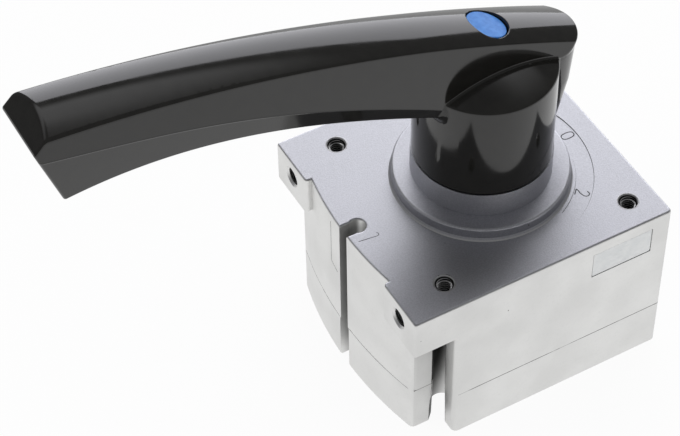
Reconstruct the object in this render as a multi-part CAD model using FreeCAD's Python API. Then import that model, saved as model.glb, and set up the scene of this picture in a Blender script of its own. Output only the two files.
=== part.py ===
"""Hand lever rotary disc valve: solids of every piece, in millimetres, +Z up.

The origin is on the spindle axis at the underside of the base. +X points to the middle mark of
the dial, the lever's handle points to -X in its middle position, and the keyhole side is -X.
"""

import FreeCAD
import Part
import math
import os

V = FreeCAD.Vector
X = V(1, 0, 0)
Y = V(0, 1, 0)
Z = V(0, 0, 1)

# clearances
RUN_GAP = 0.05
SLIP_GAP = 0.15
SEAT_GAP = 0.02

# body
BASE_HIGH = 16.2
UPPER_HIGH = 37.2
HOLE_PITCH = 56.0
SIDE_MARGIN = 8.5
RIGHT_MARGIN = 8.3
LUG_MARGIN = 13.65
LUG_WIDE = 16.2
LUG_HIGH = 12.8
COLUMN_INSET = 6.9
COLUMN_PROUD = 0.15
ARC_RADIUS = 112.0
EDGE_R = 1.6
RIGHT_R = 1.2
LUG_ROUND = 1.2
LUG_CORNER = 0.7
EDGE_BREAK = 0.6
PASS_R = 2.6
POCKET_R = 3.6
POCKET_IN = 2.4
CHANNEL_WIDTH = 3.25
CHANNEL_DRAFT = 0.15
BASE_DRAFT = 1.15
SLOT_LONG = 4.3
SLOT_R = 2.25
SLOT_MOUTH = 3.8
SLOT_BASE_GROW = 0.45
TAP_R = 2.1
TAP_CHAMFER = 0.65
TAP_DEPTH = 12.0
CROSS_DROP = 5.6
CROSS_MARGIN = 8.3
CROSS_DEPTH = 8.5
CROSS_R = 2.5
CROSS_CHAMFER = 0.6

# boss, neck, dial and label
BOSS_R = 23.7
BOSS_HIGH = 3.85
BOSS_ROUND = 0.7
NECK_R = 18.8
NECK_HIGH = 11.5
DIAL_IN = 25.2
DIAL_OUT = 30.05
DIAL_HALF = 64.3
DIAL_DEEP = 0.2
LABEL_MARGIN = 5.8
LABEL_WIDE = 18.5
LABEL_DROP = 4.0
LABEL_HIGH = 8.7
LABEL_DEEP = 0.35
LABEL_THICK = 0.25

# ports and housing screws
PORT_R = 5.8
PORT_LEAD = 0.9
PORT_DEPTH = 10.5
PORT_PITCH = 24.0
PASSAGE_R = 3.5
SEAT_WALL = 1.7
SEAT_DEPTH = 1.6
SEAT_PROUD = 0.1
SCREW_R = 2.5
SCREW_HEAD_R = 4.25
SCREW_HEAD_HIGH = 5.0
SCREW_REACH = 14.8
SOCKET_FLATS = 4.0
SOCKET_DEEP = 2.6
HEAD_GAP = 0.45
SCREW_LEFT_Y = 15.0
SCREW_MARGIN = 6.95
GASKET_MARGIN = 0.8
GASKET_WIDE = 1.8
GASKET_DEEP = 1.3

# control disc, its spring and the driver
CHAMBER_MARGIN = 3.53
DISC_GAP_R = 0.6
DISC_THICK = 8.0
KIDNEY_DEEP = 4.0
FLOOR = 0.45
SPRING_WIDE = 2.4
SPRING_MARGIN = 0.1
SPRING_THICK = 0.8
SPRING_COUNT = 6
DRIVER_GAP_R = 0.7
DRIVER_HIGH = 11.0
DRIVER_LIFT = 1.15
DRIVER_RECESS = 3.0
DOG_INSET = 2.8
DOG_LONG = 5.8
DOG_WIDE = 4.6
SQUARE = 9.0

# detent and stop
TURN = 45.0
RING_WALL = 3.5
RING_HIGH = 10.1
NOTCH_R = 2.2
NOTCH_DEEP = 0.9
PLUNGER_R = 2.5
PLUNGER_LONG = 5.85
DETENT_SPRING_ROOM = 5.1
DETENT_WIRE = 0.35
DETENT_TURNS = 5
STOP_PIN_R = 1.5
STOP_PIN_INSET = 5.3
STOP_DEEP = 2.6
STOP_HOLE = 4.0

# spindle, bushes and seals
SPINDLE_R = 6.5
FLANGE_R = 10.0
FLANGE_HIGH = 3.35
WASHER_THICK = 1.0
UPPER_LAP = 0.5
UPPER_STEP = 4.4
BUSH_WALL = 1.95
BUSH_HIGH = 8.6
SEAL_WIRE = 0.97
SEAL_SPACE = 0.36
CLIP_GROOVE = 0.7
CLIP_HIGH = 1.1
CLIP_DROP = 0.75
SPINDLE_REACH = 23.1
SPINDLE_SQUARE = 16.0
LEVER_SCREW_REACH = 12.0
TAP_SPARE = 2.0
SQUARE_SPARE = 0.4

# lever
HUB_R = 18.6
HUB_GAP = 0.25
HUB_HIGH = 29.05
DOME_HIGH = 4.3
HUB_CORE_R = 10.4
HUB_WALL = 2.4
HUB_CORE_DEEP = 18.9
CROWN_HIGH = 1.15
CROWN_GROW = 0.0075
HALF_WIDTH = 7.7
WIDTH_GROW = 0.01
LINE_SPAN = 100.0
EDGE_AT = 53.68
EDGE_RISE = 39.65
EDGE_BEND = 12.5
EDGE_END = 0.4
SEAM_SHARE = 0.08
SEAM_RISE = 0.35
SEAM_END = 0.13
LOW_AT = 27.2
LOW_RISE = 51.0
LOW_BEND = 1.4
LOW_END = 15.7
LOW_INSET = 0.35
BAR_TIP = 123.2
BAR_SPARE = 4.5
TIP_HEIGHT = 79.5
TIP_LEAN = 17.5
TIP_BEVEL = 45.0
BAR_STEPS = 15
NOSE_FRONT = 25.4
NOSE_R = 10.6
NOSE_HIGH = 44.8
NOSE_MID = 40.0
NOSE_MID_R = 7.8
NOSE_LOW = 27.0
NOSE_LOW_R = 5.4
NOSE_LOW_BACK = 0.5
NOSE_FOOT = 12.6
NOSE_FOOT_R = 2.6
NOSE_FOOT_BACK = 2.8
SEAT_THICK = 2.6
CAP_RIM_R = 5.65
CAP_DEEP = 2.3
CAP_THICK = 1.35
CAP_GAP = 0.3

# places and heights that follow
HOLE_AT = HOLE_PITCH / 2
BODY_SIDE = HOLE_AT + SIDE_MARGIN
BODY_RIGHT = HOLE_AT + RIGHT_MARGIN
BLOCK_LEFT = -HOLE_AT - 1.0
LUG_FACE = -HOLE_AT - LUG_MARGIN
LUG_INNER = BODY_SIDE - LUG_WIDE
COLUMN_SIDE = BODY_SIDE - COLUMN_INSET
ARC_FACE = LUG_FACE - COLUMN_PROUD
SLOT_END = ARC_FACE + SLOT_LONG
CROSS_Y = BODY_SIDE - CROSS_MARGIN
LABEL_X = BODY_RIGHT - LABEL_MARGIN - LABEL_WIDE
PORT_AT = PORT_PITCH / 2
PORT_RING = PORT_AT * math.sqrt(2)
CHAMBER_R = PORT_RING + PASSAGE_R + CHAMBER_MARGIN
RING_IN = CHAMBER_R - RING_WALL
UPPER_R = RING_IN + UPPER_LAP
DRIVER_R = RING_IN - DRIVER_GAP_R
DOG_AT = DRIVER_R - DOG_INSET
STOP_PIN_AT = DRIVER_R - STOP_PIN_INSET
NOSE_TIP = RING_IN - RUN_GAP
PLUNGER_BACK = NOSE_TIP - PLUNGER_LONG
BORE_END = PLUNGER_BACK - DETENT_SPRING_ROOM
SPRING_OUT = BORE_END - SPRING_MARGIN
SPRING_IN = SPRING_OUT - SPRING_WIDE
GASKET_R = CHAMBER_R + GASKET_MARGIN
GASKET_OUT = GASKET_R + GASKET_WIDE
SCREW_LEFT_X = -math.sqrt((GASKET_OUT + SCREW_MARGIN) ** 2 - SCREW_LEFT_Y ** 2)
TOP = BASE_HIGH + UPPER_HIGH
NECK_TOP = TOP + NECK_HIGH
DISC_Z = BASE_HIGH + SEAT_PROUD + RUN_GAP
DISC_TOP = DISC_Z + DISC_THICK
DISC_R = CHAMBER_R - DISC_GAP_R
DRIVER_Z = DISC_TOP + DRIVER_LIFT
DRIVER_TOP = DRIVER_Z + DRIVER_HIGH
SPRING_POCKET_R = SPRING_OUT + 1.0
POCKET_Z = DISC_Z + KIDNEY_DEEP + FLOOR
FLANGE_Z = DRIVER_TOP + 0.1
FLANGE_TOP = FLANGE_Z + FLANGE_HIGH
CEILING = FLANGE_TOP + WASHER_THICK + 2 * RUN_GAP
STEP_Z = CEILING - UPPER_STEP
DETENT_Z = DRIVER_Z + DRIVER_HIGH / 2
BORE_R = SPINDLE_R + RUN_GAP + BUSH_WALL
SPINDLE_TOP = NECK_TOP + SPINDLE_REACH
SQUARE_FROM = SPINDLE_TOP - SPINDLE_SQUARE
HUB_Z = NECK_TOP + HUB_GAP
RIM_Z = HUB_Z + HUB_HIGH
SCREW_SEAT = SPINDLE_TOP + SQUARE_SPARE + SEAT_THICK
SCREW_SINK = SCREW_HEAD_HIGH + 0.8
CAP_HEIGHT = EDGE_AT + CROWN_HIGH
CAP_SLOPE = math.degrees(math.atan(EDGE_RISE / LINE_SPAN))
LABEL_TOP = TOP - LABEL_DROP
LABEL_BOTTOM = LABEL_TOP - LABEL_HIGH


def cyl(r, z0, z1, x=0.0, y=0.0):
    """Upright cylinder between two heights."""
    return Part.makeCylinder(r, z1 - z0, V(x, y, z0), Z)


def ring(r_out, r_in, z0, z1, x=0.0, y=0.0):
    """Upright tube between two heights."""
    return cyl(r_out, z0, z1, x, y).cut(cyl(r_in, z0 - 1, z1 + 1, x, y))


def block(x0, x1, y0, y1, z0, z1):
    """Box from its limits."""
    return Part.makeBox(x1 - x0, y1 - y0, z1 - z0, V(x0, y0, z0))


def cone(r0, r1, z0, z1, x=0.0, y=0.0):
    """Upright cone between two heights."""
    return Part.makeCone(r0, r1, z1 - z0, V(x, y, z0), Z)


def square_bar(flats, z0, z1):
    """Upright square bar on the axis."""
    a = flats / 2
    return block(-a, a, -a, a, z0, z1)


def hexagon(flats, z0, z1, x=0.0, y=0.0):
    """Upright hexagonal prism."""
    r = flats / 2 / math.cos(math.pi / 6)
    points = []
    for i in range(7):
        a = math.pi / 3 * i
        points.append(V(x + r * math.cos(a), y + r * math.sin(a), z0))
    return Part.Face(Part.makePolygon(points)).extrude(V(0, 0, z1 - z0))


def sector(r_out, r_in, half, z0, z1, centre=0.0):
    """Ring sector around a direction, with its half angle in degrees."""
    wedge = Part.makeCylinder(r_out, z1 - z0, V(0, 0, z0), Z, 2 * half)
    wedge.rotate(V(0, 0, 0), Z, centre - half)
    return wedge.cut(cyl(r_in, z0 - 1, z1 + 1))


def turned(shape, angle):
    """Copy of a shape turned about the spindle axis."""
    out = shape.copy()
    out.rotate(V(0, 0, 0), Z, angle)
    return out


def joined(shapes):
    """One solid from overlapping solids."""
    out = shapes[0]
    for shape in shapes[1:]:
        out = out.fuse(shape)
    return out.removeSplitter()


def without(shape, tools):
    """Shape with every tool cut away."""
    for tool in tools:
        shape = shape.cut(tool)
    return shape


def group(shapes):
    """Several separate solids as one node."""
    return Part.makeCompound(shapes)


def upright_edges(shape, x, y, tol=0.05):
    """Upright edges of a shape at a place in plan."""
    found = []
    for edge in shape.Edges:
        box = edge.BoundBox
        upright = box.XLength < tol and box.YLength < tol
        if upright and abs(box.XMin - x) < tol and abs(box.YMin - y) < tol:
            found.append(edge)
    return found


def coil(r, wire, length, turns):
    """Compression spring that stands on the origin."""
    rise = length - 2 * wire
    helix = Part.makeHelix(rise / turns, rise, r)
    start = Part.Wire(Part.makeCircle(wire, V(r, 0, 0), Y))
    spring = Part.Wire(helix).makePipeShell([start], True, True)
    spring.translate(V(0, 0, wire))
    return spring


def corners():
    """Plan places of the four top holes."""
    return [(sx * HOLE_AT, sy * HOLE_AT) for sx in (-1, 1) for sy in (-1, 1)]


def ports():
    """Plan places of the four ports."""
    return [(sx * PORT_AT, sy * PORT_AT) for sx in (-1, 1) for sy in (-1, 1)]


def screws():
    """Plan places of the four housing screws."""
    left = [(SCREW_LEFT_X, sy * SCREW_LEFT_Y) for sy in (-1, 1)]
    return left + [(x, y) for x, y in corners() if x > 0]


def column_x():
    """Where the arc face meets the column's end face."""
    return ARC_FACE + ARC_RADIUS - math.sqrt(ARC_RADIUS ** 2 - COLUMN_SIDE ** 2)


def body_blank(z0, z1):
    """Main block with the keyhole side column, between two heights."""
    main_block = block(BLOCK_LEFT, BODY_RIGHT, -BODY_SIDE, BODY_SIDE, z0, z1)
    arc = cyl(ARC_RADIUS, z0, z1, ARC_FACE + ARC_RADIUS)
    column = block(2 * ARC_FACE, 0, -COLUMN_SIDE, COLUMN_SIDE, z0, z1).common(arc)
    blank = joined([main_block, column])
    edges = []
    for side in (-1, 1):
        edges += upright_edges(blank, column_x(), side * COLUMN_SIDE)
        edges += upright_edges(blank, BLOCK_LEFT, side * BODY_SIDE)
    blank = blank.makeFillet(EDGE_R, edges)
    right = [e for side in (-1, 1) for e in upright_edges(blank, BODY_RIGHT, side * BODY_SIDE)]
    return blank.makeFillet(RIGHT_R, right)


def keyhole(z0, z1, grow=0.0):
    """Cutter of the keyhole slot in the -X side."""
    half = SLOT_MOUTH / 2 + grow
    mouth = block(2 * ARC_FACE, SLOT_END, -half, half, z0, z1)
    return mouth.fuse(cyl(SLOT_R + grow, z0, z1, SLOT_END))


def corner_cutter(side, z0, z1, wide0, wide1):
    """Screw passage, inner pocket and diagonal channel of a keyhole side corner, widening downward."""
    h = HOLE_AT
    outlines = []
    for z, wide in ((z0, wide0), (z1, wide1)):
        a = wide / 2
        points = [V(0, -a, z), V(h, -a, z), V(h, a, z), V(0, a, z), V(0, -a, z)]
        outlines.append(Part.makePolygon(points))
    channel = Part.makeLoft(outlines, True, True)
    channel.rotate(V(0, 0, 0), Z, 180 + side * -45)
    channel.translate(V(-h, side * h, 0))
    inner = h - POCKET_IN * math.sqrt(0.5)
    return joined([channel, cyl(PASS_R, z0, z1, -h, side * h), cyl(POCKET_R, z0, z1, -inner, side * inner)])


def lug(side):
    """Corner lug of the keyhole side with a rounded lower inner edge."""
    low = TOP - LUG_HIGH
    y0, y1 = sorted((side * LUG_INNER, side * BODY_SIDE))
    body = block(LUG_FACE, BLOCK_LEFT + EDGE_R + 1, y0, y1, low, TOP)
    body = body.makeFillet(LUG_CORNER, upright_edges(body, LUG_FACE, side * BODY_SIDE))
    inner = [e for e in body.Edges if e.BoundBox.XLength > EDGE_R
             and abs(e.BoundBox.ZMax - low) < 0.1 and abs(abs(e.BoundBox.YMin) - LUG_INNER) < 0.1]
    return body.makeFillet(LUG_ROUND, inner + upright_edges(body, LUG_FACE, side * LUG_INNER))


def boss_and_neck():
    """Round boss on the plate with the neck that carries the lever."""
    top = TOP + BOSS_HIGH
    boss = cyl(BOSS_R, TOP - 2, top)
    boss = boss.makeFillet(BOSS_ROUND, [e for e in boss.Edges if abs(e.BoundBox.ZMin - top) < 0.01])
    foot = cone(BOSS_R + BOSS_ROUND, BOSS_R, TOP, TOP + BOSS_ROUND)
    return joined([boss, foot, cyl(NECK_R, TOP, NECK_TOP)])


def tapped(x, y, z_low):
    """Cutters of one tapped hole in the plate's top."""
    bevel = cone(TAP_R, TAP_R + TAP_CHAMFER, TOP - TAP_CHAMFER, TOP, x, y)
    return [cyl(TAP_R, z_low, TOP + 1, x, y), bevel]


def cross_hole(side):
    """Cutters of the sideways tapped hole in a lug."""
    at = V(LUG_FACE, side * CROSS_Y, TOP - CROSS_DROP)
    hole = Part.makeCylinder(CROSS_R, CROSS_DEPTH, at, X)
    return [hole, Part.makeCone(CROSS_R + CROSS_CHAMFER, CROSS_R, CROSS_CHAMFER, at, X)]


def make_upper_housing():
    """Upper housing with top plate, lugs, boss and neck."""
    low = TOP - LUG_HIGH
    body = joined([body_blank(BASE_HIGH, TOP), lug(-1), lug(1)]).cut(keyhole(BASE_HIGH - 1, TOP + 1))
    body = body.makeFillet(EDGE_BREAK, [e for e in body.Edges if e.BoundBox.ZMin > TOP - 0.01])
    body = joined([body, boss_and_neck()])
    tools = []
    for side in (-1, 1):
        wide = CHANNEL_WIDTH + CHANNEL_DRAFT
        tools.append(corner_cutter(side, BASE_HIGH - 1, low, wide, CHANNEL_WIDTH))
        tools += cross_hole(side)
        pin_at = side * STOP_PIN_AT
        tools.append(cyl(STOP_PIN_R, CEILING - 1, CEILING + STOP_HOLE, 0, pin_at))
    for x, y in corners():
        tools += tapped(x, y, TOP - TAP_DEPTH if x > 0 else low - 1)
    tools.append(sector(DIAL_OUT, DIAL_IN, DIAL_HALF, TOP - DIAL_DEEP, TOP + 1))
    tools.append(block(LABEL_X, LABEL_X + LABEL_WIDE, -BODY_SIDE - 1, -BODY_SIDE + LABEL_DEEP,
                       LABEL_BOTTOM, LABEL_TOP))
    tools.append(cyl(CHAMBER_R, BASE_HIGH - 1, STEP_Z))
    tools.append(cyl(UPPER_R, BASE_HIGH, CEILING))
    tools.append(cyl(BORE_R, BASE_HIGH, NECK_TOP + 1))
    clip_top = NECK_TOP - CLIP_DROP
    tools.append(ring(BORE_R + CLIP_GROOVE, BORE_R - 1, clip_top - CLIP_HIGH, clip_top))
    for x, y in screws():
        tools.append(cyl(SCREW_R, BASE_HIGH - 1, BASE_HIGH + SCREW_REACH + 1.5, x, y))
    return without(body, tools)


def make_base_housing():
    """Base housing with the four ports in its underside."""
    base = body_blank(0.0, BASE_HIGH)
    base = base.makeChamfer(0.5, [e for e in base.Edges if e.BoundBox.ZMax < 0.01])
    tools = [keyhole(-1, BASE_HIGH + 1, SLOT_BASE_GROW)]
    wide = CHANNEL_WIDTH + CHANNEL_DRAFT
    for side in (-1, 1):
        tools.append(corner_cutter(side, -1, BASE_HIGH + 1, wide + BASE_DRAFT, wide))
    for x, y in ports():
        tools.append(cyl(PORT_R, -1, PORT_DEPTH, x, y))
        tools.append(cone(PORT_R + PORT_LEAD, PORT_R, 0, PORT_LEAD, x, y))
        tools.append(cyl(PASSAGE_R, 0, BASE_HIGH + 1, x, y))
        tools.append(cyl(PASSAGE_R + SEAT_WALL, BASE_HIGH - SEAT_DEPTH, BASE_HIGH + 1, x, y))
    for x, y in screws():
        tools.append(cyl(SCREW_R + SLIP_GAP, -1, BASE_HIGH + 1, x, y))
        tools.append(cyl(SCREW_HEAD_R + HEAD_GAP, -1, SCREW_SINK, x, y))
    tools.append(ring(GASKET_OUT, GASKET_R, BASE_HIGH - GASKET_DEEP, BASE_HIGH + 1))
    return without(base, tools)


def make_housing_gasket():
    """Ring seal between the housings."""
    return ring(GASKET_OUT - 0.1, GASKET_R + 0.1, BASE_HIGH - GASKET_DEEP, BASE_HIGH)


def make_housing_screws():
    """Four socket screws from below."""
    made = []
    low = SCREW_SINK - SCREW_HEAD_HIGH
    for x, y in screws():
        head = cyl(SCREW_HEAD_R, low, SCREW_SINK, x, y)
        shank = cyl(SCREW_R, SCREW_SINK - 0.5, BASE_HIGH + SCREW_REACH, x, y)
        made.append(head.fuse(shank).cut(hexagon(SOCKET_FLATS, low - 1, low + SOCKET_DEEP, x, y)))
    return group(made)


def make_port_seats():
    """Four soft seat rings proud of the base's face."""
    made = []
    for x, y in ports():
        z0 = BASE_HIGH - SEAT_DEPTH
        made.append(ring(PASSAGE_R + SEAT_WALL, PASSAGE_R, z0, BASE_HIGH + SEAT_PROUD, x, y))
    return group(made)


def kidney():
    """Cutter of one blind passage that links two neighbouring ports."""
    r = PORT_RING
    z0 = DISC_Z - 1
    z1 = DISC_Z + KIDNEY_DEEP
    bend = sector(r + PASSAGE_R, r - PASSAGE_R, TURN, z0, z1, TURN)
    return joined([bend, cyl(PASSAGE_R, z0, z1, r, 0), cyl(PASSAGE_R, z0, z1, 0, r)])


def dog(side, long, wide, z0, z1):
    """Upright key at the driver's rim."""
    at = side * DOG_AT
    return block(-long / 2, long / 2, at - wide / 2, at + wide / 2, z0, z1)


def make_control_disc():
    """Control disc with two kidney passages, a spring pocket and two dog slots."""
    tools = [kidney(), turned(kidney(), 180), cyl(SPRING_POCKET_R, POCKET_Z, DISC_TOP + 1)]
    for side in (-1, 1):
        tools.append(dog(side, DOG_LONG + 0.3, DOG_WIDE + 0.3, POCKET_Z, DISC_TOP + 1))
    return without(cyl(DISC_R, DISC_Z, DISC_TOP), tools)


def make_disc_spring():
    """Stack of conical spring washers that presses the control disc onto its seats."""
    pitch = (DRIVER_Z + DRIVER_RECESS - POCKET_Z) / SPRING_COUNT
    rise = pitch - SPRING_THICK - SEAT_GAP
    made = []
    for i in range(SPRING_COUNT):
        z = POCKET_Z + i * pitch + SEAT_GAP / 2
        z_in = z + rise * (i % 2)
        z_out = z + rise * (1 - i % 2)
        points = [V(SPRING_IN, 0, z_in), V(SPRING_OUT, 0, z_out), V(SPRING_OUT, 0, z_out + SPRING_THICK),
                  V(SPRING_IN, 0, z_in + SPRING_THICK), V(SPRING_IN, 0, z_in)]
        made.append(Part.Face(Part.makePolygon(points)).revolve(V(0, 0, 0), Z, 360))
    return group(made)


def make_driver():
    """Driver between spindle and disc, with dogs, detent bores and stop slots."""
    body = cyl(DRIVER_R, DRIVER_Z, DRIVER_TOP)
    dogs = [dog(side, DOG_LONG, DOG_WIDE, POCKET_Z + 0.5, DRIVER_Z + 1) for side in (-1, 1)]
    tools = [square_bar(SQUARE + 2 * RUN_GAP, DRIVER_Z - 1, DRIVER_TOP + 1)]
    tools.append(cyl(SPRING_POCKET_R, DRIVER_Z - 1, DRIVER_Z + DRIVER_RECESS))
    half = TURN + math.degrees(math.asin((STOP_PIN_R + 0.12) / STOP_PIN_AT))
    wide = STOP_PIN_R + 0.2
    for side in (-1, 1):
        tools.append(sector(STOP_PIN_AT + wide, STOP_PIN_AT - wide, half,
                            DRIVER_TOP - STOP_DEEP, DRIVER_TOP + 1, side * 90))
        start = V(side * BORE_END, 0, DETENT_Z)
        tools.append(Part.makeCylinder(PLUNGER_R + RUN_GAP, DRIVER_R, start, X * side))
    return without(joined([body] + dogs), tools)


def make_plunger(side):
    """Detent plunger with a round nose, guided in the driver."""
    back = V(side * PLUNGER_BACK, 0, DETENT_Z)
    shank = Part.makeCylinder(PLUNGER_R, PLUNGER_LONG - PLUNGER_R, back, X * side)
    ball = Part.makeSphere(PLUNGER_R, V(side * (NOSE_TIP - PLUNGER_R), 0, DETENT_Z))
    return joined([shank, ball])


def make_plunger_spring(side):
    """Spring behind a detent plunger."""
    spring = coil(PLUNGER_R - 2 * DETENT_WIRE, DETENT_WIRE, DETENT_SPRING_ROOM - 2 * SEAT_GAP, DETENT_TURNS)
    spring.rotate(V(0, 0, 0), Y, 90 * side)
    spring.translate(V(side * (BORE_END + SEAT_GAP), 0, DETENT_Z))
    return spring


def make_index_ring():
    """Index ring with three notches for each plunger."""
    tools = []
    at = RING_IN + NOTCH_DEEP - NOTCH_R
    for base in (0, 180):
        for angle in (-TURN, 0, TURN):
            tools.append(turned(cyl(NOTCH_R, STEP_Z - RING_HIGH - 1, STEP_Z + 1, at), base + angle))
    return without(ring(CHAMBER_R, RING_IN, STEP_Z - RING_HIGH, STEP_Z), tools)


def make_stop_pins():
    """Two pins that end the turn of the driver."""
    low = DRIVER_TOP - STOP_DEEP + 0.3
    return group([cyl(STOP_PIN_R, low, CEILING + STOP_HOLE, 0, side * STOP_PIN_AT) for side in (-1, 1)])


def make_spindle():
    """Spindle with a flange, lower and upper squares and a tapped end."""
    lower = square_bar(SQUARE, DRIVER_Z + DRIVER_RECESS + 0.1, FLANGE_Z)
    flange = cyl(FLANGE_R, FLANGE_Z, FLANGE_TOP)
    shaft = cyl(SPINDLE_R, FLANGE_TOP - 1, SQUARE_FROM)
    upper = square_bar(SQUARE, SQUARE_FROM - 1, SPINDLE_TOP)
    upper = upper.common(cyl(SPINDLE_R, SQUARE_FROM - 1, SPINDLE_TOP))
    body = joined([lower, flange, shaft, upper])
    return body.cut(cyl(SCREW_R, SPINDLE_TOP - LEVER_SCREW_REACH - TAP_SPARE, SPINDLE_TOP + 1))


def make_thrust_washer():
    """Washer between the spindle's flange and the housing."""
    return ring(FLANGE_R, SPINDLE_R + 2 * RUN_GAP, CEILING - RUN_GAP - WASHER_THICK, CEILING - RUN_GAP)


def make_lower_bush():
    """Lower spindle bush."""
    return ring(BORE_R, SPINDLE_R + RUN_GAP, CEILING, CEILING + BUSH_HIGH)


def clip_low():
    """Underside of the retaining ring's groove."""
    return NECK_TOP - CLIP_DROP - CLIP_HIGH


def make_upper_bush():
    """Upper spindle bush."""
    return ring(BORE_R, SPINDLE_R + RUN_GAP, clip_low() - BUSH_HIGH, clip_low())


def make_spindle_seals():
    """Two ring seals between the bushes."""
    r = BORE_R - SEAL_WIRE
    low = CEILING + BUSH_HIGH
    high = clip_low() - BUSH_HIGH
    middle = (low + high) / 2
    return group([Part.makeTorus(r, SEAL_WIRE, V(0, 0, middle + s * (SEAL_WIRE + SEAL_SPACE / 2)), Z) for s in (-1, 1)])


def make_retaining_ring():
    """Internal retaining ring above the upper bush."""
    body = ring(BORE_R + CLIP_GROOVE, SPINDLE_R + 0.7, clip_low(), clip_low() + CLIP_HIGH)
    return body.cut(block(-3, 3, 0, 2 * BORE_R, clip_low() - 1, NECK_TOP))


def profile(u, at, rise, bend, end):
    """Height of a lever line at a distance along the handle, as a cubic over the plate."""
    t = u / LINE_SPAN
    return TOP + at + rise * t - bend * t ** 2 + end * t ** 3


def edge_line(u):
    """Height of the crown's edge."""
    return profile(u, EDGE_AT, EDGE_RISE, EDGE_BEND, -EDGE_END)


def seam_line(u):
    """Height of the moulding seam, where the bar is widest."""
    t = max(u, 0) / LINE_SPAN
    share = SEAM_SHARE + SEAM_RISE * t + SEAM_END * t ** 3
    return low_line(u) + share * (edge_line(u) - low_line(u))


def low_line(u):
    """Height of the bar's lower edge."""
    return profile(u, LOW_AT, LOW_RISE, LOW_BEND, -LOW_END)


def station(u):
    """Closed section of the lever bar at a distance along the handle."""
    edge = edge_line(u)
    seam = seam_line(u)
    low = low_line(u)
    along = max(u, 0)
    top_w = HALF_WIDTH + WIDTH_GROW * along
    top = edge + CROWN_HIGH + CROWN_GROW * along
    seam_w = top_w + 0.02 * (edge - seam)
    low_w = seam_w - 0.05 * (seam - low) - LOW_INSET
    x = -u
    crown = Part.Arc(V(x, top_w, edge), V(x, 0, top), V(x, -top_w, edge)).toShape()
    points = [V(x, -top_w, edge), V(x, -seam_w, seam), V(x, -low_w, low), V(x, low_w, low),
              V(x, seam_w, seam), V(x, top_w, edge)]
    sides = [Part.makeLine(a, b) for a, b in zip(points, points[1:])]
    return Part.Wire([crown] + sides)


def lever_bar():
    """Bar of the lever, lofted from its nose to its tip and cut to the tip's lean and bevel."""
    first = -(NOSE_FRONT + BAR_SPARE)
    step = (BAR_TIP + BAR_SPARE - first) / (BAR_STEPS - 1)
    bar = Part.makeLoft([station(first + step * i) for i in range(BAR_STEPS)], True, False)
    wide = 4 * HALF_WIDTH
    face = block(-wide, 0, -wide, wide, -TIP_HEIGHT, TIP_HEIGHT)
    bevel = block(-wide, wide, -wide, wide, 0, TIP_HEIGHT)
    tools = []
    for tool, lean in ((face, TIP_LEAN), (bevel, TIP_BEVEL)):
        tool.rotate(V(0, 0, 0), Y, -lean)
        tool.translate(V(-BAR_TIP, 0, TOP + TIP_HEIGHT))
        tools.append(tool)
    return without(bar, tools)


def nose_shape():
    """Stack of oblique cones that rounds the nose and runs down the hub as a prow."""
    grow = (NOSE_R - NOSE_MID_R) / (NOSE_HIGH - NOSE_MID)
    above = NOSE_HIGH + EDGE_AT / 4
    rows = [(NOSE_FOOT, NOSE_FOOT_BACK, NOSE_FOOT_R), (NOSE_LOW, NOSE_LOW_BACK, NOSE_LOW_R),
            (NOSE_MID, 0.0, NOSE_MID_R), (above, 0.0, NOSE_R + grow * (above - NOSE_HIGH))]
    rings = [Part.Wire(Part.makeCircle(r, V(NOSE_FRONT - back - r, 0, TOP + z), Z)) for z, back, r in rows]
    return Part.makeLoft(rings, True, True)


def cap_placed(shape):
    """Shape moved from the cap's own axes to its place in the sloping crown."""
    shape.rotate(V(0, 0, 0), Y, CAP_SLOPE)
    shape.translate(V(0, 0, TOP + CAP_HEIGHT))
    return shape


def make_lever():
    """Lever with hub, nose and handle in one moulding."""
    bar = lever_bar()
    handle = bar.cut(block(NOSE_FRONT - NOSE_R, 4 * HUB_R, -2 * HUB_R, 2 * HUB_R, 0, 3 * TOP))
    prow = nose_shape()
    nose = bar.common(prow)
    prow = prow.common(block(0, 2 * HUB_R, -HUB_R, HUB_R, 0, TOP + NOSE_LOW))
    hub = cyl(HUB_R, HUB_Z, RIM_Z)
    dome_r = (HUB_R ** 2 + DOME_HIGH ** 2) / (2 * DOME_HIGH)
    dome = Part.makeSphere(dome_r, V(0, 0, RIM_Z + DOME_HIGH - dome_r))
    dome = dome.common(cyl(HUB_R, RIM_Z - 0.01, RIM_Z + 2 * DOME_HIGH))
    body = joined([hub, dome, handle, nose, prow])
    high = TOP + 2 * CAP_HEIGHT
    tools = [ring(HUB_R - HUB_WALL, HUB_CORE_R, HUB_Z - 1, HUB_Z + HUB_CORE_DEEP)]
    tools.append(cyl(SPINDLE_R + SLIP_GAP, HUB_Z - 1, SQUARE_FROM + 0.3))
    tools.append(square_bar(SQUARE + 2 * SEAT_GAP, HUB_Z, SPINDLE_TOP + SQUARE_SPARE))
    tools.append(cyl(SCREW_R + SLIP_GAP, HUB_Z, high))
    tools.append(cyl(SCREW_HEAD_R + 0.5, SCREW_SEAT, high))
    tools.append(cap_placed(Part.makeCylinder(CAP_RIM_R, CAP_HEIGHT / 3, V(0, 0, -CAP_DEEP), Z)))
    return without(body, tools)


def make_cap_disc():
    """Coloured cap over the lever screw."""
    top = CAP_THICK - CAP_DEEP
    cap = Part.makeCylinder(CAP_RIM_R - CAP_GAP, CAP_THICK, V(0, 0, -CAP_DEEP), Z)
    cap = cap.makeFillet(0.2, [e for e in cap.Edges if abs(e.BoundBox.ZMin - top) < 0.01])
    return cap_placed(cap)


def make_lever_washer():
    """Washer under the lever screw's head."""
    return ring(SCREW_HEAD_R + 0.4, SCREW_R + 0.1, SCREW_SEAT, SCREW_SEAT + WASHER_THICK)


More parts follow.
